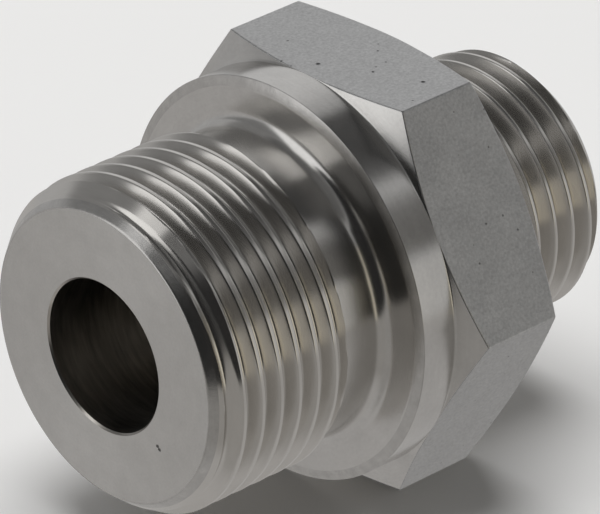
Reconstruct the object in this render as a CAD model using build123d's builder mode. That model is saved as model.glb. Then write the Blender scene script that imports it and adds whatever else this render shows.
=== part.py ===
from build123d import *
import math
import os

# Straight male connector turned in one piece from hexagon bar: a G 3/4 stud with a metal sealing
# edge, a collar, the hexagon and a G 1/2 stud, with one bore through all of it.
# Lengths are in millimetres. The axis runs along X, with the large stud towards -X. The origin is on
# the axis in the plane of the sealing edge, and one flat of the hexagon faces down.

# Large stud, over the thread crests
large_thread_diameter = 26.2
large_stud_length = 16.95
large_lead_length = 2.0
large_lead_depth = 1.6
large_relief_diameter = 24.2
large_relief_width = 4.6

# Collar with the sealing edge
collar_diameter = 32.0
collar_length = 3.35
sealing_edge_diameter = 30.4
sealing_bevel_length = 0.2

# Hexagon
across_flats = 32.0
hexagon_width = 8.9
hexagon_chamfer_length = 1.0

# Small stud, over the thread crests
small_thread_diameter = 20.9
small_stud_length = 13.1
small_lead_length = 1.6
small_lead_depth = 1.6
small_relief_diameter = 18.4
small_relief_width = 4.8

# Relief grooves behind both threads: slope of the wall at the thread, fillet at the shoulder
relief_wall_angle = 60.0
relief_fillet_radius = 1.15

# Bore and edge finish of the two end faces
bore_diameter = 12.0
bore_edge_break = 0.15
face_edge_radius = 0.25

# Places along the axis
large_face = -large_stud_length
hexagon_front = collar_length
hexagon_back = hexagon_front + hexagon_width
small_face = hexagon_back + small_stud_length

# Radii
bore_radius = bore_diameter / 2
large_thread_radius = large_thread_diameter / 2
large_relief_radius = large_relief_diameter / 2
collar_radius = collar_diameter / 2
sealing_edge_radius = sealing_edge_diameter / 2
flat_radius = across_flats / 2
corner_radius = flat_radius / math.cos(math.pi / 6)
small_thread_radius = small_thread_diameter / 2
small_relief_radius = small_relief_diameter / 2

# Axial run of each relief groove's sloping wall
wall_slope = math.tan(math.radians(relief_wall_angle))
large_wall_run = (large_thread_radius - large_relief_radius) / wall_slope
small_wall_run = (small_thread_radius - small_relief_radius) / wall_slope

with BuildPart() as connector_body:
    # Hexagon bar, flats up and down, corners to the sides
    with BuildSketch(Plane.YZ.offset(hexagon_front)):
        RegularPolygon(radius=flat_radius, side_count=6, major_radius=False)
    extrude(amount=hexagon_width)

    # Conical chamfers, each from the corners to a circle as wide as the flats
    with BuildSketch(Plane.XZ):
        with BuildLine():
            Polyline(
                (hexagon_front, 0),
                (hexagon_front, flat_radius),
                (hexagon_front + hexagon_chamfer_length, corner_radius),
                (hexagon_back - hexagon_chamfer_length, corner_radius),
                (hexagon_back, flat_radius),
                (hexagon_back, 0),
                close=True,
            )
        make_face()
    revolve(axis=Axis.X, mode=Mode.INTERSECT)

    # Large stud and collar: lead chamfer, thread, relief groove, sealing edge with its outer bevel
    with BuildSketch(Plane.XZ):
        with BuildLine():
            Polyline(
                (hexagon_front, collar_radius),
                (hexagon_front, 0),
                (large_face, 0),
                (large_face, large_thread_radius - large_lead_depth),
                (large_face + large_lead_length, large_thread_radius),
                (-large_relief_width, large_thread_radius),
                (-large_relief_width + large_wall_run, large_relief_radius),
                (-relief_fillet_radius, large_relief_radius),
            )
            RadiusArc(
                (-relief_fillet_radius, large_relief_radius),
                (0, large_relief_radius + relief_fillet_radius),
                -relief_fillet_radius,
            )
            Polyline(
                (0, large_relief_radius + relief_fillet_radius),
                (0, sealing_edge_radius),
                (sealing_bevel_length, collar_radius),
                (hexagon_front, collar_radius),
            )
        make_face()
    revolve(axis=Axis.X)

    # Small stud: relief groove, thread, lead chamfer
    with BuildSketch(Plane.XZ):
        with BuildLine():
            RadiusArc(
                (hexagon_back, small_relief_radius + relief_fillet_radius),
                (hexagon_back + relief_fillet_radius, small_relief_radius),
                -relief_fillet_radius,
            )
            Polyline(
                (hexagon_back + relief_fillet_radius, small_relief_radius),
                (hexagon_back + small_relief_width - small_wall_run, small_relief_radius),
                (hexagon_back + small_relief_width, small_thread_radius),
                (small_face - small_lead_length, small_thread_radius),
                (small_face, small_thread_radius - small_lead_depth),
                (small_face, 0),
                (hexagon_back, 0),
                (hexagon_back, small_relief_radius + relief_fillet_radius),
            )
        make_face()
    revolve(axis=Axis.X)

    # Bore from end to end
    with BuildSketch(Plane.YZ.offset(large_face)):
        Circle(bore_radius)
    extrude(amount=small_face - large_face, mode=Mode.SUBTRACT)

    # Rounded rims and broken bore edges on the two end faces
    end_faces = connector_body.faces().filter_by(Axis.X).sort_by(Axis.X)
    rims = [end_face.edges().sort_by(SortBy.RADIUS) for end_face in (end_faces[0], end_faces[-1])]
    fillet([rim[-1] for rim in rims], radius=face_edge_radius)
    end_faces = connector_body.faces().filter_by(Axis.X).sort_by(Axis.X)
    rims = [end_face.edges().sort_by(SortBy.RADIUS) for end_face in (end_faces[0], end_faces[-1])]
    chamfer([rim[0] for rim in rims], length=bore_edge_break)

connector_body.part.label = "connector_body"

os.makedirs("parts", exist_ok=True)
export_step(connector_body.part, "parts/connector_body.step")
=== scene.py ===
import logging
import math
from dataclasses import dataclass, field
from enum import Enum
from typing import Union

import bmesh
import bpy
import numpy as np
from mathutils import Matrix, Vector


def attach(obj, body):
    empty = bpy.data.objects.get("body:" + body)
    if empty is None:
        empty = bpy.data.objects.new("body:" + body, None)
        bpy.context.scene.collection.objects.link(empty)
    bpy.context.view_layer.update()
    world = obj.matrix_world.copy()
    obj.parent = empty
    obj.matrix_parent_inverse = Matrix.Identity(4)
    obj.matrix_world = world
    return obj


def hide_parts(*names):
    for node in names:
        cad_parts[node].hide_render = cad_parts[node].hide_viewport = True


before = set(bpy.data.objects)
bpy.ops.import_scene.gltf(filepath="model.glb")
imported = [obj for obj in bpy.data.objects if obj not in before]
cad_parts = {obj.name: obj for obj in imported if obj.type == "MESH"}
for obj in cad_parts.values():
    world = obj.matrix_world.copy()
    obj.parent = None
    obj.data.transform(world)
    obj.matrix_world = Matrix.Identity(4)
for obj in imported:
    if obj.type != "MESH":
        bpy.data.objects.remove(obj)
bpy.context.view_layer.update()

LOG = logging.getLogger("connector")
METRES = 0.001
MERGE_DISTANCE = 0.002

# Sizes in this file are millimetres unless a line says otherwise. A place round the axis is an angle
# from -Y towards -Z, so a point of radius r lies at (x, -r cos, -r sin).


# ---- node helpers

Socket = bpy.types.NodeSocket
Triple = tuple[float, float, float]
Value = Union["Wire", float, int]


class Wire:
    """One number that runs through a node tree, with the usual arithmetic."""

    def __init__(self, graph: "Graph", socket: Socket) -> None:
        """Keeps the tree's helper and the socket that gives the number."""
        self.graph = graph
        self.socket = socket

    def __add__(self, other: Value) -> "Wire":
        """Sum."""
        return self.graph.math("ADD", self, other)

    def __radd__(self, other: Value) -> "Wire":
        """Sum."""
        return self.graph.math("ADD", other, self)

    def __sub__(self, other: Value) -> "Wire":
        """Difference."""
        return self.graph.math("SUBTRACT", self, other)

    def __rsub__(self, other: Value) -> "Wire":
        """Difference."""
        return self.graph.math("SUBTRACT", other, self)

    def __mul__(self, other: Value) -> "Wire":
        """Product."""
        return self.graph.math("MULTIPLY", self, other)

    def __rmul__(self, other: Value) -> "Wire":
        """Product."""
        return self.graph.math("MULTIPLY", other, self)

    def __truediv__(self, other: Value) -> "Wire":
        """Quotient."""
        return self.graph.math("DIVIDE", self, other)


class Graph:
    """Adds nodes to one tree and wires them."""

    def __init__(self, tree: bpy.types.NodeTree) -> None:
        """Takes over an existing tree and empties it."""
        self.tree = tree
        self.tree.nodes.clear()

    def node(self, kind: str, **settings: object) -> bpy.types.Node:
        """Adds one node.

        Args:
            kind: the node's type name.
            settings: properties of the node.

        Returns:
            The new node.
        """
        made = self.tree.nodes.new(kind)
        for name, value in settings.items():
            setattr(made, name, value)
        return made

    def feed(self, socket: Socket, value: object) -> None:
        """Wires a number or socket into an input, or sets the input's own value.

        Args:
            socket: the input.
            value: a Wire, a socket, or a plain value.
        """
        if isinstance(value, Wire):
            self.tree.links.new(value.socket, socket)
        elif isinstance(value, Socket):
            self.tree.links.new(value, socket)
        else:
            socket.default_value = value

    def math(self, operation: str, *terms: Value) -> Wire:
        """One step of arithmetic.

        Args:
            operation: the operation's name.
            terms: one to three numbers.

        Returns:
            The result.
        """
        made = self.node("ShaderNodeMath", operation=operation)
        for socket, term in zip(made.inputs, terms):
            self.feed(socket, term)
        return Wire(self, made.outputs[0])

    def least(self, a: Value, b: Value) -> Wire:
        """Smaller of two numbers."""
        return self.math("MINIMUM", a, b)

    def most(self, a: Value, b: Value) -> Wire:
        """Larger of two numbers."""
        return self.math("MAXIMUM", a, b)

    def mix(self, amount: Value, a: Value, b: Value) -> Wire:
        """Number that goes from a to b as amount goes from 0 to 1.

        Args:
            amount: share of b.
            a: value at 0.
            b: value at 1.

        Returns:
            The mixed number.
        """
        made = self.node("ShaderNodeMix", data_type="FLOAT")
        for slot, term in zip((0, 2, 3), (amount, a, b)):
            self.feed(made.inputs[slot], term)
        return Wire(self, made.outputs[0])

    def blend(self, amount: Value, a: object, b: object) -> Socket:
        """Colour that goes from a to b as amount goes from 0 to 1.

        Args:
            amount: share of b.
            a: colour at 0, as a socket or four numbers.
            b: colour at 1, likewise.

        Returns:
            The mixed colour.
        """
        made = self.node("ShaderNodeMix", data_type="RGBA")
        for slot, term in zip((0, 6, 7), (amount, a, b)):
            self.feed(made.inputs[slot], term)
        return made.outputs[2]

    def ease(self, value: Value, start: float, end: float) -> Wire:
        """Smooth step from 0 at start to 1 at end.

        Args:
            value: the number to test.
            start: where the step begins.
            end: where the step is complete. It may lie below start.

        Returns:
            A number from 0 to 1.
        """
        made = self.node("ShaderNodeMapRange", interpolation_type="SMOOTHSTEP")
        self.feed(made.inputs["Value"], value)
        ends = (start, end, 0.0, 1.0) if start < end else (end, start, 1.0, 0.0)
        for name, number in zip(("From Min", "From Max", "To Min", "To Max"), ends):
            made.inputs[name].default_value = number
        return Wire(self, made.outputs[0])

    def vector(self, x: Value, y: Value, z: Value) -> Socket:
        """Vector from three numbers."""
        made = self.node("ShaderNodeCombineXYZ")
        for socket, term in zip(made.inputs, (x, y, z)):
            self.feed(socket, term)
        return made.outputs[0]

    def parts(self, vector: Socket) -> list[Wire]:
        """Three numbers of a vector."""
        made = self.node("ShaderNodeSeparateXYZ")
        self.feed(made.inputs[0], vector)
        return [Wire(self, socket) for socket in made.outputs]

    def measure(self, operation: str, vector: Socket, fixed: Triple) -> Wire:
        """Number that a vector and a fixed one give, such as their distance."""
        made = self.node("ShaderNodeVectorMath", operation=operation)
        self.feed(made.inputs[0], vector)
        self.feed(made.inputs[1], fixed)
        return Wire(self, made.outputs["Value"])

    def noise(
        self, vector: Socket, scale: float, detail: float, roughness: float = 0.5, distortion: float = 0.0
    ) -> Wire:
        """Cloudy noise from 0 to 1.

        Args:
            vector: coordinates to read it at.
            scale: clouds per unit.
            detail: number of finer layers.
            roughness: strength of the finer layers.
            distortion: how far the clouds are twisted.

        Returns:
            The noise.
        """
        made = self.node("ShaderNodeTexNoise", noise_dimensions="3D")
        self.feed(made.inputs["Vector"], vector)
        numbers = {"Scale": scale, "Detail": detail, "Roughness": roughness, "Distortion": distortion}
        for name, number in numbers.items():
            made.inputs[name].default_value = number
        return Wire(self, made.outputs[0])

    def speckle(self, vector: Socket, scale: float) -> tuple[Wire, Wire]:
        """Random cells, as for pits.

        Args:
            vector: coordinates to read them at.
            scale: cells per unit.

        Returns:
            Distance from the nearest cell's point, and that cell's random number.
        """
        made = self.node("ShaderNodeTexVoronoi", feature="F1")
        self.feed(made.inputs["Vector"], vector)
        made.inputs["Scale"].default_value = scale
        colour = self.parts(made.outputs["Color"])
        return Wire(self, made.outputs["Distance"]), colour[0]


# ---- steel finishes


def new_material(name: str) -> tuple[bpy.types.Material, Graph, Socket]:
    """Starts a material.

    Args:
        name: the material's name.

    Returns:
        The material, the helper of its empty tree, and the object's own coordinates.
    """
    made = bpy.data.materials.new(name)
    made.use_nodes = True
    graph = Graph(made.node_tree)
    return made, graph, graph.node("ShaderNodeTexCoord").outputs["Object"]


class Lay(Enum):
    """Which way the tool moved while it left its fine rings."""

    ALONG = "along the axis"
    ACROSS = "across the axis"
    SLOPING = "both at once"


# Spacing of the broad rings in spacings of the fine ones, how much grain darkens the metal, and how much
# painted shade darkens a nick
BROAD_RING = 6.0
GRAIN_SHADE = 0.16
NICK_PAINTED_SHADE = 0.8


@dataclass(frozen=True)
class Nick:
    """Small dent, with its place in the part's frame; the finishes darken it with painted shade."""

    place: Triple
    radius: float
    depth: float


@dataclass(frozen=True)
class TurnedSteel:
    """Stainless steel with the fine rings that a lathe tool leaves."""

    name: str
    lay: Lay
    shade: float = 0.60
    warmth: float = 0.02
    roughness: float = 0.26
    anisotropy: float = 0.5
    ring_spacing: float = 0.16
    ring_height: float = 0.0006
    ring_breaks: float = 0.35
    shade_change: float = 0.10
    cloud_size: float = 2.5
    cloud_change: float = 0.06
    grain_height: float = 0.0
    grain_size: float = 0.12
    nicks: tuple[Nick, ...] = ()

    def material(self) -> bpy.types.Material:
        """Builds the material.

        Returns:
            The new material.
        """
        made, graph, place = new_material(self.name)
        x, y, z = [wire / METRES for wire in graph.parts(place)]
        out = graph.math("SQRT", y * y + z * z)
        travel = {Lay.ALONG: x, Lay.ACROSS: out, Lay.SLOPING: x + out}[self.lay]

        # Rings: long streaks round the axis that fade in and out
        round_y = y * self.ring_breaks
        round_z = z * self.ring_breaks
        fine = graph.noise(graph.vector(travel / self.ring_spacing, round_y, round_z), 1.0, 3.0, 0.6)
        broad_travel = travel / (self.ring_spacing * BROAD_RING)
        broad = graph.noise(graph.vector(broad_travel, round_y * 0.5, round_z * 0.5), 1.0, 2.0, 0.5)
        spot = graph.vector(x, y, z)
        clouds = graph.noise(spot, 1.0 / self.cloud_size, 3.0, 0.55)
        shade = self.shade * (
            1.0
            + (fine - 0.5) * self.shade_change
            + (broad - 0.5) * self.shade_change
            + (clouds - 0.5) * (2.0 * self.cloud_change)
        )
        height = fine * self.ring_height + broad * (self.ring_height * 1.5)
        if self.grain_height:
            grain = graph.noise(spot, 1.0 / self.grain_size, 3.0, 0.6)
            height = height + grain * self.grain_height
            shade = shade * (1.0 - GRAIN_SHADE / 2.0 + grain * GRAIN_SHADE)
        for nick in self.nicks:
            away = graph.measure("DISTANCE", spot, nick.place)
            mark = graph.ease(away, nick.radius, nick.radius * 0.5)
            height = height - mark * nick.depth
            # Painted shade: the nick's colour is darkened as if shade fell in the dent
            shade = shade * (1.0 - mark * NICK_PAINTED_SHADE)

        rough = self.roughness * (0.85 + broad * 0.15 + clouds * 0.15)
        around = graph.vector(0.0, -1.0 * z, y)
        finish_steel(graph, shade, self.warmth, rough, height, self.anisotropy, around)
        return made


@dataclass(frozen=True)
class DrawnSteel:
    """Stainless steel as the hexagon bar is drawn: matt, finely grained, with small pits darkened by painted
    shade.
    """

    name: str
    shade: float = 0.55
    warmth: float = 0.0
    roughness: float = 0.40
    anisotropy: float = 0.25
    grain_size: float = 0.22
    grain_height: float = 0.006
    grain_change: float = 0.8
    line_stretch: float = 0.35
    line_density: float = 6.0
    line_height: float = 0.0016
    line_change: float = 0.14
    blotch_size: float = 3.2
    blotch_change: float = 0.16
    pit_spacing: float = 0.9
    pit_edge: tuple[float, float] = (0.13, 0.06)
    pit_chance: tuple[float, float] = (0.72, 0.76)
    pit_depth: float = 0.03
    pit_painted_shade: float = 0.55
    nicks: tuple[Nick, ...] = ()

    def material(self) -> bpy.types.Material:
        """Builds the material.

        Returns:
            The new material.
        """
        made, graph, place = new_material(self.name)
        x, y, z = [wire / METRES for wire in graph.parts(place)]
        spot = graph.vector(x, y, z)

        grain = graph.noise(spot, 1.0 / self.grain_size, 4.0, 0.65)
        across = self.line_density
        drawn = graph.vector(x * self.line_stretch, y * across, z * across)
        lines = graph.noise(drawn, 1.0, 3.0, 0.6)
        blotches = graph.noise(spot, 1.0 / self.blotch_size, 4.0, 0.6, 0.4)
        away, chance = graph.speckle(spot, 1.0 / self.pit_spacing)
        pits = graph.ease(away, *self.pit_edge) * graph.ease(chance, *self.pit_chance)

        shade = self.shade * (
            1.0
            + (grain - 0.5) * self.grain_change
            + (lines - 0.5) * self.line_change
            + (blotches - 0.5) * (2.0 * self.blotch_change)
        )
        # Painted shade: the pits' colour is darkened as if shade fell in them
        shade = shade * (1.0 - pits * self.pit_painted_shade)
        height = grain * self.grain_height + lines * self.line_height - pits * self.pit_depth
        for nick in self.nicks:
            near = graph.measure("DISTANCE", spot, nick.place)
            mark = graph.ease(near, nick.radius, nick.radius * 0.3)
            height = height - mark * nick.depth
            # Painted shade: the nick's colour is darkened as if shade fell in the dent
            shade = shade * (1.0 - mark * NICK_PAINTED_SHADE)
        rough = self.roughness * (0.85 + blotches * 0.3)
        along = graph.vector(1.0, 0.0, 0.0)
        finish_steel(graph, shade, self.warmth, rough, height, self.anisotropy, along)
        return made


def finish_steel(
    graph: Graph, shade: Value, warmth: float, rough: Value, height: Value, anisotropy: float, tangent: Socket
) -> None:
    """Puts the shader at the end of a steel finish.

    Args:
        graph: the material's tree.
        shade: brightness of the metal.
        warmth: how much redder than blue it is.
        rough: roughness.
        height: relief in millimetres.
        anisotropy: how much more the surface scatters across its marks.
        tangent: direction of the marks.
    """
    colour = graph.node("ShaderNodeCombineColor")
    for socket, share in zip(colour.inputs, (1.0 + warmth, 1.0, 1.0 - 1.5 * warmth)):
        graph.feed(socket, shade * share)
    bump = graph.node("ShaderNodeBump")
    graph.feed(bump.inputs["Height"], height * METRES)
    bump.inputs["Strength"].default_value = 1.0
    bump.inputs["Distance"].default_value = 1.0
    shader = graph.node("ShaderNodeBsdfPrincipled")
    shader.inputs["Metallic"].default_value = 1.0
    shader.inputs["Anisotropic"].default_value = anisotropy
    shader.inputs["Anisotropic Rotation"].default_value = 0.25
    graph.feed(shader.inputs["Base Color"], colour.outputs[0])
    graph.feed(shader.inputs["Roughness"], rough)
    graph.feed(shader.inputs["Normal"], bump.outputs[0])
    graph.feed(shader.inputs["Tangent"], tangent)
    end = graph.node("ShaderNodeOutputMaterial")
    graph.feed(end.inputs["Surface"], shader.outputs[0])


class Surface(Enum):
    """Areas of the connector that were finished differently, in the order of its material slots."""

    FACE, LEAD, THREAD, RELIEF, SHOULDER, COLLAR, CHAMFER, FLAT, BORE = range(9)


FINISHES: dict[Surface, Union[TurnedSteel, DrawnSteel]] = {
    Surface.FACE: TurnedSteel(
        "steel_end_face", Lay.ACROSS, roughness=0.32, ring_height=0.0002, shade_change=0.06,
        cloud_size=1.6, cloud_change=0.09, grain_height=0.0012, grain_size=0.22,
        nicks=(Nick((-16.95, -5.9, -5.05), 0.2, 0.03), Nick((-16.95, -6.1, -5.25), 0.2, 0.03)),
    ),
    Surface.LEAD: TurnedSteel(
        "steel_lead_chamfer", Lay.SLOPING, shade=0.54, anisotropy=0.3, cloud_size=1.0, cloud_change=0.2,
        grain_height=0.006, grain_size=0.35,
    ),
    Surface.THREAD: TurnedSteel(
        "steel_thread", Lay.SLOPING, shade=0.63, warmth=0.03, roughness=0.20, anisotropy=0.85,
        ring_spacing=0.4, ring_breaks=0.5, ring_height=0.0,
    ),
    Surface.RELIEF: TurnedSteel(
        "steel_relief", Lay.ALONG, warmth=0.025, roughness=0.20, anisotropy=0.85,
        ring_spacing=0.35, cloud_change=0.12,
    ),
    Surface.SHOULDER: TurnedSteel(
        "steel_shoulder", Lay.ACROSS, roughness=0.18, anisotropy=0.8, ring_spacing=0.35,
        cloud_change=0.10, grain_height=0.0003, grain_size=0.25,
    ),
    Surface.COLLAR: TurnedSteel(
        "steel_collar", Lay.ALONG, roughness=0.18, anisotropy=0.85, ring_spacing=0.3,
        cloud_change=0.10, grain_height=0.0003, grain_size=0.25,
    ),
    Surface.CHAMFER: TurnedSteel(
        "steel_hexagon_chamfer", Lay.SLOPING, roughness=0.22, anisotropy=0.7, ring_spacing=0.35,
        cloud_change=0.12, grain_height=0.001, grain_size=0.25,
    ),
    Surface.FLAT: DrawnSteel(
        "steel_hexagon_flats",
        nicks=(
            Nick((5.11, 0.55, 16.0), 0.24, 0.04),
            Nick((7.17, -3.17, 16.0), 0.15, 0.03),
            Nick((8.72, -6.86, 16.0), 0.22, 0.04),
        ),
    ),
    # The bore's low shade, darker than the rest of the steel, is painted shade of the inside of the hole
    Surface.BORE: TurnedSteel(
        "steel_bore", Lay.ALONG, shade=0.46, warmth=0.05, roughness=0.30, anisotropy=0.6,
        ring_spacing=0.4, ring_height=0.002, shade_change=1.2,
    ),
}


# ---- meshes of revolution


@dataclass(frozen=True)
class Columns:
    """Angles of the lengthwise rows of points, close together at the hexagon's corners."""

    sectors: int = 6
    per_sector: int = 32
    at_corner: int = 3
    corner_step: float = 0.18

    @property
    def count(self) -> int:
        """Number of columns all round."""
        return self.sectors * self.per_sector

    @property
    def step(self) -> float:
        """Degrees between two columns away from the corners."""
        half = 180.0 / self.sectors
        return (half - self.at_corner * self.corner_step) / (self.per_sector / 2 - self.at_corner)

    @property
    def from_corner(self) -> np.ndarray:
        """Degrees from each column to the nearest corner."""
        place = np.arange(self.count) % self.per_sector
        steps = np.minimum(place, self.per_sector - place)
        near = np.minimum(steps, self.at_corner) * self.corner_step
        return near + np.maximum(steps - self.at_corner, 0) * self.step

    @property
    def angles(self) -> np.ndarray:
        """Angle of each column in radians."""
        index = np.arange(self.count)
        sector = index // self.per_sector
        second_half = index % self.per_sector > self.per_sector // 2
        wide = 360.0 / self.sectors
        degrees = sector * wide + np.where(second_half, wide - self.from_corner, self.from_corner)
        return np.radians(degrees)


COLUMNS = Columns()
Point = tuple[float, float]
Ring = tuple[np.ndarray, np.ndarray]


def ring(x: Union[float, np.ndarray], r: Union[float, np.ndarray]) -> Ring:
    """One ring of points.

    Args:
        x: place along the axis, for all columns or one for each.
        r: distance from the axis, likewise.

    Returns:
        Both as arrays with one number for each column.
    """
    spread = np.zeros(COLUMNS.count)
    return spread + x, spread + r


def rounded(before: Point, corner: Point, after: Point, radius: float, steps: int = 6) -> list[Point]:
    """Arc that replaces a corner of a profile, with a close point on each side to hold the shading.

    Args:
        before: a point on the line that comes in.
        corner: the corner.
        after: a point on the line that goes out.
        radius: radius of the arc.
        steps: number of straight steps on the arc.

    Returns:
        Points (x, r) from the line that comes in to the line that goes out.
    """
    apex = Vector(corner)
    back = (Vector(before) - apex).normalized()
    ahead = (Vector(after) - apex).normalized()
    half = back.angle(ahead) / 2
    reach = radius / math.tan(half)
    centre = apex + (back + ahead).normalized() * (radius / math.sin(half))
    start = apex + back * reach - centre
    end = apex + ahead * reach - centre
    turn = start.angle(end)
    hold = radius * turn / steps
    points = [apex + back * (reach + hold)]
    for step in range(steps + 1):
        share = step / steps
        spoke = (start * math.sin((1 - share) * turn) + end * math.sin(share * turn)) / math.sin(turn)
        points.append(centre + spoke)
    points.append(apex + ahead * (reach + hold))
    return [(point.x, point.y) for point in points]


@dataclass
class Skin:
    """Closed skin of the connector, built from rings and finished meshes."""

    shape: bmesh.types.BMesh = field(default_factory=bmesh.new)

    def wrap(self, rings: list[Ring], surface: Surface) -> None:
        """Lays faces between rings.

        Args:
            rings: rings in order along the profile.
            surface: the area that the faces belong to.
        """
        angles = COLUMNS.angles
        rows = []
        for along, out in rings:
            across = -out * np.cos(angles)
            up = -out * np.sin(angles)
            rows.append([self.shape.verts.new(Vector(p) * METRES) for p in zip(along, across, up)])
        for first, second in zip(rows, rows[1:]):
            for column in range(COLUMNS.count):
                after = (column + 1) % COLUMNS.count
                corners = (first[column], first[after], second[after], second[column])
                self.shape.faces.new(corners).material_index = surface.value

    def lathe(self, points: list[Point], surface: Surface) -> None:
        """Lays faces along a profile that is the same all round.

        Args:
            points: points (x, r) of the profile.
            surface: the area that the faces belong to.
        """
        self.wrap([ring(x, r) for x, r in points], surface)

    def add(self, mesh: bpy.types.Mesh, surface: Surface) -> None:
        """Adds a finished mesh.

        Args:
            mesh: the mesh, which is removed afterwards.
            surface: the area that its faces belong to.
        """
        known = len(self.shape.faces)
        self.shape.from_mesh(mesh)
        self.shape.faces.ensure_lookup_table()
        for made in self.shape.faces[known:]:
            made.material_index = surface.value
        bpy.data.meshes.remove(mesh)

    def close(self, name: str, sharp_angle: float) -> bpy.types.Object:
        """Joins everything into one closed object.

        Args:
            name: the object's name.
            sharp_angle: edges with a greater turn in degrees stay sharp.

        Returns:
            The object, with its finishes.
        """
        bmesh.ops.remove_doubles(self.shape, verts=self.shape.verts, dist=MERGE_DISTANCE * METRES)
        bmesh.ops.dissolve_degenerate(self.shape, edges=self.shape.edges, dist=1e-7)
        many_sided = [made for made in self.shape.faces if len(made.verts) > 4]
        bmesh.ops.triangulate(self.shape, faces=many_sided)
        bmesh.ops.recalc_face_normals(self.shape, faces=self.shape.faces)
        for made in self.shape.faces:
            made.smooth = True
        open_edges = sum(not edge.is_manifold for edge in self.shape.edges)
        triangles = sum(len(made.verts) - 2 for made in self.shape.faces)
        volume = self.shape.calc_volume() / METRES ** 3
        LOG.info("%s: %d triangles, %d open edges, %.0f mm3", name, triangles, open_edges, volume)
        mesh = bpy.data.meshes.new(name)
        self.shape.to_mesh(mesh)
        self.shape.free()
        for surface in Surface:
            mesh.materials.append(FINISHES[surface].material())
        mesh.set_sharp_from_angle(angle=math.radians(sharp_angle))
        made = bpy.data.objects.new(name, mesh)
        bpy.context.scene.collection.objects.link(made)
        return made


# ---- threads


THREAD_SIZES = (
    "Start", "Start Radius", "Start Slope", "End", "End Radius", "End Slope", "Crest Radius", "Root Radius",
    "Pitch", "Crest Place", "Crest Land", "Edge Blend", "Flank Angle",
)


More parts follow.
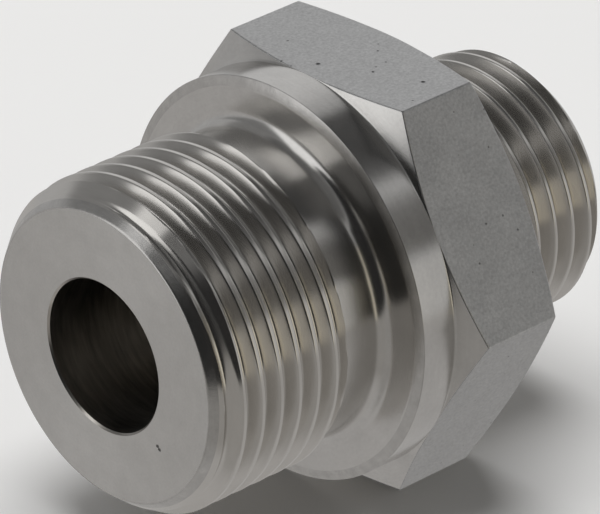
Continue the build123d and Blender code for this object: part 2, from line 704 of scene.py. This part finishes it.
@dataclass
class ThreadTree:
    """Geometry Nodes tree that cuts a right-hand thread on a stud with a sloping start and end."""

    name: str = "threaded_stud"
    crest_rows: int = 2
    edge_rows: int = 4
    flank_rows: int = 5
    root_rows: int = 5
    root_blend: float = 0.35
    spare_pitches: float = 3.0
    snap_reach: float = 0.501

    @property
    def rows_per_pitch(self) -> int:
        """Number of rows from one crest to the next."""
        return 2 * (self.crest_rows + self.edge_rows + self.flank_rows + self.root_rows)

    def build(self) -> bpy.types.NodeTree:
        """Builds the tree.

        Returns:
            The tree, with an input for each size and one for the metal.
        """
        tree = bpy.data.node_groups.new(self.name, "GeometryNodeTree")
        tree.is_modifier = True
        graph = Graph(tree)
        for label in THREAD_SIZES:
            tree.interface.new_socket(name=label, in_out="INPUT", socket_type="NodeSocketFloat")
        tree.interface.new_socket(name="Metal", in_out="INPUT", socket_type="NodeSocketMaterial")
        tree.interface.new_socket(name="Geometry", in_out="OUTPUT", socket_type="NodeSocketGeometry")
        inputs = graph.node("NodeGroupInput").outputs
        (
            start, start_radius, start_slope, end, end_radius, end_slope, crest, root,
            pitch, crest_place, land, blend, flank_angle,
        ) = (Wire(graph, inputs[label]) for label in THREAD_SIZES)

        # Grid with one side along the stud and one round it
        per_pitch = self.rows_per_pitch
        before = graph.math("CEIL", (crest_place - start) / pitch) + 1.0
        rows = (graph.math("CEIL", (end - start) / pitch) + self.spare_pitches) * per_pitch + 1.0
        grid = graph.node("GeometryNodeMeshGrid")
        grid.inputs["Vertices X"].default_value = COLUMNS.count + 1
        graph.feed(grid.inputs["Vertices Y"], rows)
        index = Wire(graph, graph.node("GeometryNodeInputIndex").outputs[0])
        column = graph.math("FLOOR", (index + 0.5) / rows)
        row = index - column * rows

        # Angle of each column, in turns, by the same rule as the rest of the skin
        per_sector = COLUMNS.per_sector
        sector = graph.math("FLOOR", (column + 0.5) / per_sector)
        within = column - sector * per_sector
        steps = graph.least(within, per_sector - within)
        fold = graph.least(steps, COLUMNS.at_corner) * COLUMNS.corner_step
        fold = fold + graph.most(steps - COLUMNS.at_corner, 0.0) * COLUMNS.step
        wide = 360.0 / COLUMNS.sectors
        second_half = graph.math("GREATER_THAN", within, per_sector / 2)
        turns = (sector * wide + graph.mix(second_half, fold, wide - fold)) / 360.0

        steep = graph.math("TANGENT", graph.math("RADIANS", flank_angle))

        # Rows within one pitch, closest together on the rounded edges of the crest
        pitch_index = graph.math("FLOOR", (row + 0.5) / per_pitch)
        in_pitch = row - pitch_index * per_pitch
        steps = graph.least(in_pitch, per_pitch - in_pitch)
        edge_half = blend * steep
        root_start = land / 2.0 + (crest - root - self.root_blend) * steep
        runs = (
            (self.crest_rows, land / 2.0 - edge_half),
            (self.edge_rows, edge_half * 2.0),
            (self.flank_rows, root_start - land / 2.0 - edge_half),
            (self.root_rows, pitch / 2.0 - root_start),
        )
        off = 0.0
        passed = 0
        widest = 0.0
        for count, length in runs:
            step = length / count
            off = graph.least(graph.most(steps - passed, 0.0), count) * step + off
            widest = graph.most(step, widest)
            passed += count
        rear = graph.math("GREATER_THAN", in_pitch, per_pitch / 2)
        off = graph.mix(rear, off, pitch - off)

        # Place along the axis: rows follow the helix and settle on the rings where the outline bends
        x = crest_place + (pitch_index - before + turns) * pitch + off
        x = graph.least(graph.most(x, start), end)
        for bend in (
            start, start + (crest - start_radius) / start_slope, end - (crest - end_radius) / end_slope, end,
        ):
            near = graph.math("COMPARE", x, bend, widest * self.snap_reach)
            x = x + near * (bend - x)

        # Radius: crest land, straight flanks, rounded root, all below the stud's outline
        along = (x - crest_place) / pitch - turns
        off_crest = graph.math("ABSOLUTE", graph.math("FRACT", along + 0.5) - 0.5) * pitch
        flank = crest - (off_crest - land / 2.0) / steep
        tooth = graph.math("SMOOTH_MIN", crest, flank, blend)
        tooth = graph.math("SMOOTH_MAX", root, tooth, self.root_blend)
        outline = graph.least(start_radius + start_slope * (x - start), end_radius + end_slope * (end - x))
        radius = graph.least(tooth, graph.least(crest, outline)) * METRES
        angle = turns * (2.0 * math.pi)
        place = graph.vector(
            x * METRES,
            radius * graph.math("COSINE", angle) * -1.0,
            radius * graph.math("SINE", angle) * -1.0,
        )

        moved = graph.node("GeometryNodeSetPosition")
        graph.feed(moved.inputs["Geometry"], grid.outputs["Mesh"])
        graph.feed(moved.inputs["Position"], place)
        split = graph.node("GeometryNodeTriangulate")
        split.quad_method = "FIXED_ALTERNATE"
        graph.feed(split.inputs["Mesh"], moved.outputs["Geometry"])
        merged = graph.node("GeometryNodeMergeByDistance")
        graph.feed(merged.inputs["Geometry"], split.outputs["Mesh"])
        merged.inputs["Distance"].default_value = MERGE_DISTANCE * METRES
        real = graph.node("GeometryNodeRealizeInstances")
        graph.feed(real.inputs["Geometry"], merged.outputs["Geometry"])
        metal = graph.node("GeometryNodeSetMaterial")
        graph.feed(metal.inputs["Geometry"], real.outputs["Geometry"])
        graph.feed(metal.inputs["Material"], inputs["Metal"])
        graph.feed(graph.node("NodeGroupOutput").inputs[0], metal.outputs["Geometry"])
        return tree


@dataclass
class Thread:
    """One threaded length, from where its stud's outline starts to rise to where it has fallen."""

    name: str
    start: float
    start_radius: float
    start_slope: float
    end: float
    end_radius: float
    end_slope: float
    crest_radius: float
    root_radius: float
    crest_place: float
    crest_land: float
    edge_blend: float = 0.13
    pitch: float = 1.814
    flank_angle: float = 27.5

    def mesh(self, tree: bpy.types.NodeTree) -> bpy.types.Mesh:
        """Runs the thread tree with this thread's sizes.

        Args:
            tree: the thread tree.

        Returns:
            The thread as a plain mesh.
        """
        carrier = bpy.data.objects.new(self.name, bpy.data.meshes.new(self.name))
        bpy.context.scene.collection.objects.link(carrier)
        modifier = carrier.modifiers.new("cut", "NODES")
        modifier.node_group = tree
        for socket in tree.interface.items_tree:
            if socket.in_out == "INPUT" and socket.name in THREAD_SIZES:
                modifier[socket.identifier] = getattr(self, socket.name.lower().replace(" ", "_"))
        graph = bpy.context.evaluated_depsgraph_get()
        made = bpy.data.meshes.new_from_object(carrier.evaluated_get(graph), depsgraph=graph)
        carrier.modifiers.remove(modifier)
        bpy.data.objects.remove(carrier)
        LOG.info("%s: %d faces", self.name, len(made.polygons))
        return made


# ---- the connector's lengths


@dataclass
class Stud:
    """Sizes that both studs share."""

    wall_slope: float = math.sqrt(3.0)
    fillet_radius: float = 1.15
    rim_radius: float = 0.25
    mouth_radius: float = 6.15


@dataclass
class LargeStud(Stud):
    """Stud with the larger thread, its end face, lead chamfer and relief groove."""

    face: float = -16.95
    face_radius: float = 11.5
    lead_slope: float = 0.8
    lead_visible: float = 0.6
    crest_radius: float = 13.1
    root_radius: float = 12.1
    relief_radius: float = 12.1
    relief_start: float = -4.6
    shoulder: float = 0.0
    sealing_radius: float = 15.2
    face_rings: tuple[float, float] = (8.0, 10.0)
    shoulder_rings: tuple[float, float] = (14.2, 15.0)
    crest_place: float = -16.674
    crest_land: float = 0.36

    @property
    def wall_end(self) -> float:
        """Place where the relief groove's wall reaches its floor."""
        return self.relief_start + (self.crest_radius - self.relief_radius) / self.wall_slope

    def build(self, skin: Skin, tree: bpy.types.NodeTree) -> None:
        """Adds the stud to the skin.

        Args:
            skin: the connector's skin.
            tree: the thread tree.
        """
        lead_end = (self.face + self.lead_visible, self.face_radius + self.lead_slope * self.lead_visible)
        mouth = (self.face, self.mouth_radius)
        rim = rounded(mouth, (self.face, self.face_radius), lead_end, self.rim_radius)
        skin.lathe([mouth, *((self.face, r) for r in self.face_rings), *rim[:2]], Surface.FACE)
        skin.lathe([*rim[1:], lead_end], Surface.LEAD)
        thread = Thread(
            "large_thread", *lead_end, self.lead_slope, self.wall_end, self.relief_radius, self.wall_slope,
            self.crest_radius, self.root_radius, self.crest_place, self.crest_land,
        )
        skin.add(thread.mesh(tree), Surface.THREAD)
        corner = (self.shoulder, self.relief_radius)
        outer = (self.shoulder, self.sealing_radius)
        fillet = rounded((self.wall_end, self.relief_radius), corner, outer, self.fillet_radius, 14)
        run = [(x, self.relief_radius) for x in np.linspace(self.wall_end, fillet[0][0], 6)]
        middle = len(fillet) // 2
        skin.lathe([*run[:-1], *fillet[:middle + 1]], Surface.RELIEF)
        shoulder = [(self.shoulder, r) for r in self.shoulder_rings]
        skin.lathe([*fillet[middle:], *shoulder, outer], Surface.SHOULDER)


@dataclass
class Collar:
    """Collar behind the large stud, with the bevel outside its sealing edge."""

    front: float = 0.0
    sealing_radius: float = 15.2
    bevel_length: float = 0.2
    radius: float = 16.0
    back: float = 3.35
    bevel_round: float = 0.05
    back_room: float = 0.2

    def build(self, skin: Skin) -> None:
        """Adds the collar to the skin.

        Args:
            skin: the connector's skin.
        """
        edge = (self.front, self.sealing_radius)
        corner = (self.front + self.bevel_length, self.radius)
        turn = rounded(edge, corner, (self.back, self.radius), self.bevel_round, 4)
        skin.lathe([edge, *turn], Surface.LEAD)
        run = [(x, self.radius) for x in np.linspace(turn[-1][0], self.back - self.back_room, 6)]
        skin.lathe(run, Surface.COLLAR)


@dataclass
class Hexagon:
    """Hexagon with a conical chamfer on both sides."""

    front: float = 3.35
    back: float = 12.25
    flat_radius: float = 16.0
    chamfer_length: float = 1.0
    corner_round: float = 0.12
    edge_round: float = 0.08
    front_fillet: float = 0.12
    front_room: float = 0.2
    round_share: float = 0.3
    flat_rows: tuple[float, ...] = (0.01, 0.05, 0.25, 0.5, 0.75, 0.95, 0.99)
    inner_radius: float = 10.35

    @property
    def outline(self) -> np.ndarray:
        """Distance of the flats and their rounded corners from the axis, for each column."""
        off_corner = np.radians(COLUMNS.from_corner)
        flats = self.flat_radius / np.cos(np.pi / 6 - off_corner)
        centre = (self.flat_radius - self.corner_round) / math.cos(math.pi / 6)
        arc = centre * np.cos(off_corner) + np.sqrt(
            np.maximum(self.corner_round ** 2 - (centre * np.sin(off_corner)) ** 2, 0.0)
        )
        inside = centre * np.sin(off_corner) < self.corner_round * np.sin(np.pi / 6)
        return np.where(inside, np.minimum(arc, flats), flats)

    def bend(
        self, before: Ring, corner: Ring, after: Ring, reach: float, limit: np.ndarray, steps: int = 5
    ) -> list[Ring]:
        """Rounds an edge that runs all the way round and may differ from column to column.

        Args:
            before: a ring on the surface that comes in.
            corner: the edge.
            after: a ring on the surface that goes out.
            reach: how far the rounding reaches on each side.
            limit: greatest reach for each column.
            steps: number of straight steps.

        Returns:
            Rings from one surface to the other.
        """
        apex = np.stack(corner)
        legs = []
        for other in (before, after):
            leg = np.stack(other) - apex
            length = np.maximum(np.hypot(leg[0], leg[1]), 1e-9)
            legs.append(leg / length)
        size = np.minimum(reach, limit)
        start = apex + legs[0] * size
        end = apex + legs[1] * size
        hold = size * 0.45
        rings = [apex + legs[0] * (size + hold)]
        for step in range(steps + 1):
            t = step / steps
            rings.append((1 - t) ** 2 * start + 2 * t * (1 - t) * apex + t ** 2 * end)
        rings.append(apex + legs[1] * (size + hold))
        return [tuple(one) for one in rings]

    def build(self, skin: Skin) -> None:
        """Adds the hexagon to the skin.

        Args:
            skin: the connector's skin.
        """
        outline = self.outline
        rise = outline - self.flat_radius
        full_rise = self.flat_radius / math.cos(math.pi / 6) - self.flat_radius
        width = rise / (full_rise / self.chamfer_length)
        limit = np.hypot(width, rise) * self.round_share
        front_edge = ring(self.front, self.flat_radius)
        front_crest = (self.front + width, outline)
        back_edge = ring(self.back, self.flat_radius)
        back_crest = (self.back - width, outline)
        fillet_start = ring(self.front - self.front_room, self.flat_radius)
        inner = self.bend(fillet_start, front_edge, front_crest, self.front_fillet, limit)
        outer = self.bend(front_edge, front_crest, back_crest, self.edge_round, limit)
        skin.wrap([fillet_start, *inner, *outer[:2]], Surface.CHAMFER)
        rear = self.bend(front_crest, back_crest, back_edge, self.edge_round, limit)
        first = outer[-1][0]
        middle = [(first + (rear[0][0] - first) * share, outline) for share in self.flat_rows]
        skin.wrap([*outer[1:], *middle, *rear[:-1]], Surface.FLAT)
        inward = ring(self.back, self.flat_radius - 1.0)
        brim = self.bend(back_crest, back_edge, inward, self.edge_round, limit)
        skin.wrap([*rear[-2:], *brim[:-1]], Surface.CHAMFER)
        steps = [ring(self.back, r) for r in np.linspace(self.flat_radius - 0.3, self.inner_radius, 6)]
        skin.wrap([brim[-2], *steps], Surface.SHOULDER)


@dataclass
class SmallStud(Stud):
    """Stud with the smaller thread, its relief groove, lead chamfer and end face."""

    shoulder: float = 12.25
    relief_radius: float = 9.2
    relief_end: float = 17.05
    crest_radius: float = 10.45
    root_radius: float = 9.3
    face: float = 25.35
    face_radius: float = 8.85
    lead_slope: float = 1.0
    lead_visible: float = 0.4
    face_ring: float = 7.5
    crest_place: float = 17.586
    crest_land: float = 0.3023

    @property
    def wall_start(self) -> float:
        """Place where the relief groove's wall leaves its floor."""
        return self.relief_end - (self.crest_radius - self.relief_radius) / self.wall_slope

    def build(self, skin: Skin, tree: bpy.types.NodeTree) -> None:
        """Adds the stud to the skin.

        Args:
            skin: the connector's skin.
            tree: the thread tree.
        """
        top = (self.shoulder, self.relief_radius + self.fillet_radius)
        corner = (self.shoulder, self.relief_radius)
        wall = (self.wall_start, self.relief_radius)
        fillet = rounded(top, corner, wall, self.fillet_radius, 12)
        middle = len(fillet) // 2
        skin.lathe([top, *fillet[2:middle]], Surface.SHOULDER)
        run = [(x, self.relief_radius) for x in np.linspace(fillet[-1][0], wall[0], 6)]
        skin.lathe([*fillet[middle - 1:], *run[1:]], Surface.RELIEF)
        lead_start = (self.face - self.lead_visible, self.face_radius + self.lead_slope * self.lead_visible)
        thread = Thread(
            "small_thread", *wall, self.wall_slope, *lead_start, self.lead_slope,
            self.crest_radius, self.root_radius, self.crest_place, self.crest_land,
        )
        skin.add(thread.mesh(tree), Surface.THREAD)
        mouth = (self.face, self.mouth_radius)
        rim = rounded(lead_start, (self.face, self.face_radius), mouth, self.rim_radius)
        skin.lathe([lead_start, *rim[1:-1]], Surface.LEAD)
        skin.lathe([*rim[-2:], (self.face, self.face_ring), mouth], Surface.FACE)


@dataclass
class Bore:
    """Bore from end to end, with its two broken edges."""

    front: float = -16.95
    back: float = 25.35
    radius: float = 6.0
    edge_break: float = 0.15
    rings: int = 16

    def build(self, skin: Skin) -> None:
        """Adds the bore to the skin.

        Args:
            skin: the connector's skin.
        """
        mouth_radius = self.radius + self.edge_break
        places = np.linspace(self.front + self.edge_break, self.back - self.edge_break, self.rings)
        wall = [(x, self.radius) for x in places]
        for run in ([(self.front, mouth_radius), wall[0]], wall, [wall[-1], (self.back, mouth_radius)]):
            skin.lathe(run, Surface.BORE)


@dataclass
class Connector:
    """The whole connector, one piece of steel."""

    large_stud: LargeStud = field(default_factory=LargeStud)
    collar: Collar = field(default_factory=Collar)
    hexagon: Hexagon = field(default_factory=Hexagon)
    small_stud: SmallStud = field(default_factory=SmallStud)
    bore: Bore = field(default_factory=Bore)

    def build(self) -> bpy.types.Object:
        """Builds the connector's mesh with its finishes.

        Returns:
            The finished object.
        """
        skin = Skin()
        tree = ThreadTree().build()
        self.large_stud.build(skin, tree)
        self.collar.build(skin)
        self.hexagon.build(skin)
        self.small_stud.build(skin, tree)
        self.bore.build(skin)
        return skin.close("connector", sharp_angle=30.0)


# ---- studio


@dataclass(frozen=True)
class LightPanel:
    """Bright or dark area of the studio, by its direction from the part in degrees."""

    azimuth: float
    half_width: float
    low: float
    high: float
    radiance: float
    side_softness: float = 8.0
    end_softness: float = 8.0
    tint: Triple = (1.0, 1.0, 1.0)


@dataclass
class Studio:
    """Pale floor, soft light from all round, and the panels that the steel reflects."""

    floor_level: float = -16.0
    floor_half_size: float = 3000.0
    floor_shade: float = 0.80
    lamp_place: Triple = (0.05, 0.15, 0.9)
    lamp_size: float = 0.8
    lamp_energy: float = 7.5
    tent_radiance: float = 0.47
    seen_radiance: float = 0.80
    panels: tuple[LightPanel, ...] = (
        # floor: paler behind the part, darker in front
        LightPanel(0.0, 200.0, -95.0, -13.0, 0.46, tint=(1.02, 1.0, 0.98)),
        LightPanel(-125.0, 60.0, -48.0, -13.0, 0.33, 20.0, 16.0, (1.03, 1.0, 0.96)),
        # walls left, right and behind
        LightPanel(47.0, 20.0, 8.0, 40.0, 0.68, 10.0, 6.0),
        LightPanel(102.0, 30.0, 22.0, 60.0, 0.24, 12.0, 10.0),
        LightPanel(128.0, 9.0, 4.0, 60.0, 0.22, 5.0, 6.0),
        LightPanel(-54.0, 10.0, -11.0, 14.0, 0.52, 5.0, 5.0),
        LightPanel(-77.0, 12.0, -11.0, 30.0, 0.78, 4.0, 6.0, (1.08, 1.0, 0.82)),
        LightPanel(-56.0, 18.0, 18.0, 34.0, 0.15, 8.0, 8.0, (1.02, 1.0, 0.97)),
        # dark ceiling
        LightPanel(0.0, 200.0, 54.0, 95.0, 0.13, 8.0, 8.0),
        LightPanel(-6.0, 24.0, 45.0, 66.0, 0.05, 10.0, 5.0),
        # large soft lamp, and the dark side of the room that the camera stands in
        LightPanel(155.0, 14.0, -11.0, 56.0, 1.10, 5.0, 6.0),
        LightPanel(-140.5, 50.5, -11.0, 44.0, 0.025, 4.0, 5.0),
    )

    def floor(self) -> bpy.types.Object:
        """Builds the floor.

        Returns:
            The floor object.
        """
        made, graph, place = new_material("pale_floor")
        tone = self.floor_shade + (graph.noise(place, 6.0, 2.0) - 0.5) * 0.01
        colour = graph.node("ShaderNodeCombineColor")
        for socket, share in zip(colour.inputs, (1.0, 0.995, 0.985)):
            graph.feed(socket, tone * share)
        shader = graph.node("ShaderNodeBsdfPrincipled")
        graph.feed(shader.inputs["Base Color"], colour.outputs[0])
        shader.inputs["Roughness"].default_value = 0.9
        shader.inputs["Specular IOR Level"].default_value = 0.0
        graph.feed(graph.node("ShaderNodeOutputMaterial").inputs["Surface"], shader.outputs[0])

        half = self.floor_half_size * METRES
        level = self.floor_level * METRES
        mesh = bpy.data.meshes.new("floor")
        corners = [(-half, -half, level), (half, -half, level), (half, half, level), (-half, half, level)]
        mesh.from_pydata(corners, [], [(0, 1, 2, 3)])
        mesh.materials.append(made)
        floor = bpy.data.objects.new("floor", mesh)
        floor.visible_glossy = False
        bpy.context.scene.collection.objects.link(floor)
        return floor

    def tent(self) -> None:
        """Builds the world: an even tent with the panels on it."""
        world = bpy.data.worlds.new("tent")
        world.use_nodes = True
        graph = Graph(world.node_tree)
        way = graph.node("ShaderNodeTexCoord").outputs["Generated"]
        height = graph.math("DEGREES", graph.math("ARCSINE", graph.parts(way)[2]))
        colour: object = (self.tent_radiance,) * 3 + (1.0,)
        for panel in self.panels:
            turn = math.radians(panel.azimuth)
            ahead = graph.measure("DOT_PRODUCT", way, (math.cos(turn), math.sin(turn), 0.0))
            side = graph.measure("DOT_PRODUCT", way, (-math.sin(turn), math.cos(turn), 0.0))
            sideways = graph.math("ABSOLUTE", graph.math("DEGREES", graph.math("ARCTAN2", side, ahead)))
            cover = graph.ease(sideways, panel.half_width + panel.side_softness, panel.half_width)
            cover = cover * graph.ease(height, panel.low - panel.end_softness, panel.low)
            cover = cover * graph.ease(height, panel.high + panel.end_softness, panel.high)
            glow = tuple(panel.radiance * share for share in panel.tint) + (1.0,)
            colour = graph.blend(cover, colour, glow)
        seen = Wire(graph, graph.node("ShaderNodeLightPath").outputs["Is Camera Ray"])
        colour = graph.blend(seen, colour, (self.seen_radiance,) * 3 + (1.0,))
        sky = graph.node("ShaderNodeBackground")
        graph.feed(sky.inputs["Color"], colour)
        graph.feed(graph.node("ShaderNodeOutputWorld").inputs["Surface"], sky.outputs[0])
        bpy.context.scene.world = world

    def lamps(self) -> None:
        """Adds the soft lamp over the floor, with its place and size in metres."""
        data = bpy.data.lights.new("overhead", "AREA")
        data.shape = "DISK"
        data.size = self.lamp_size
        data.energy = self.lamp_energy
        lamp = bpy.data.objects.new("overhead", data)
        lamp.location = self.lamp_place
        lamp.rotation_euler = Vector(self.lamp_place).to_track_quat("Z", "Y").to_euler()
        lamp.visible_glossy = False
        lamp.visible_camera = False
        bpy.context.scene.collection.objects.link(lamp)

    def build(self) -> bpy.types.Object:
        """Builds the studio.

        Returns:
            The floor object.
        """
        self.tent()
        self.lamps()
        settings = bpy.context.scene.view_settings
        settings.view_transform = "Standard"
        settings.look = "None"
        return self.floor()


@dataclass
class PhotoCamera:
    """Camera at the photograph's viewing angle."""

    azimuth: float = 47.02393
    elevation: float = 28.71171
    roll: float = -0.16176
    aim: Triple = (3.56481, 0.89286, 0.21542)
    distance: float = 464.13018
    lens: float = 372.0
    sensor: float = 36.0

    def build(self) -> bpy.types.Object:
        """Adds the camera.

        Returns:
            The camera object.
        """
        turn, tilt, roll = (math.radians(a) for a in (self.azimuth, self.elevation, self.roll))
        ahead = Vector((math.cos(tilt) * math.cos(turn), math.cos(tilt) * math.sin(turn), -math.sin(tilt)))
        level = Vector((math.sin(turn), -math.cos(turn), 0.0))
        upright = level.cross(ahead)
        right = level * math.cos(roll) + upright * math.sin(roll)
        above = upright * math.cos(roll) - level * math.sin(roll)
        data = bpy.data.cameras.new("photo_camera")
        data.lens = self.lens
        data.sensor_width = self.sensor
        data.clip_start = 0.01
        data.clip_end = 10.0
        camera = bpy.data.objects.new("photo_camera", data)
        place = (Vector(self.aim) - ahead * self.distance) * METRES
        axes = Matrix((right, above, -ahead)).transposed()
        camera.matrix_world = Matrix.Translation(place) @ axes.to_4x4()
        bpy.context.scene.collection.objects.link(camera)
        bpy.context.scene.camera = camera
        return camera


def main() -> None:
    """Builds the connector, the studio and the camera in order."""
    logging.basicConfig(level=logging.INFO, format="%(name)s: %(message)s")
    PhotoCamera().build()
    Studio().build()
    connector = Connector().build()
    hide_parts("connector_body")
    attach(connector, "root")


if __name__ == "__main__":
    main()
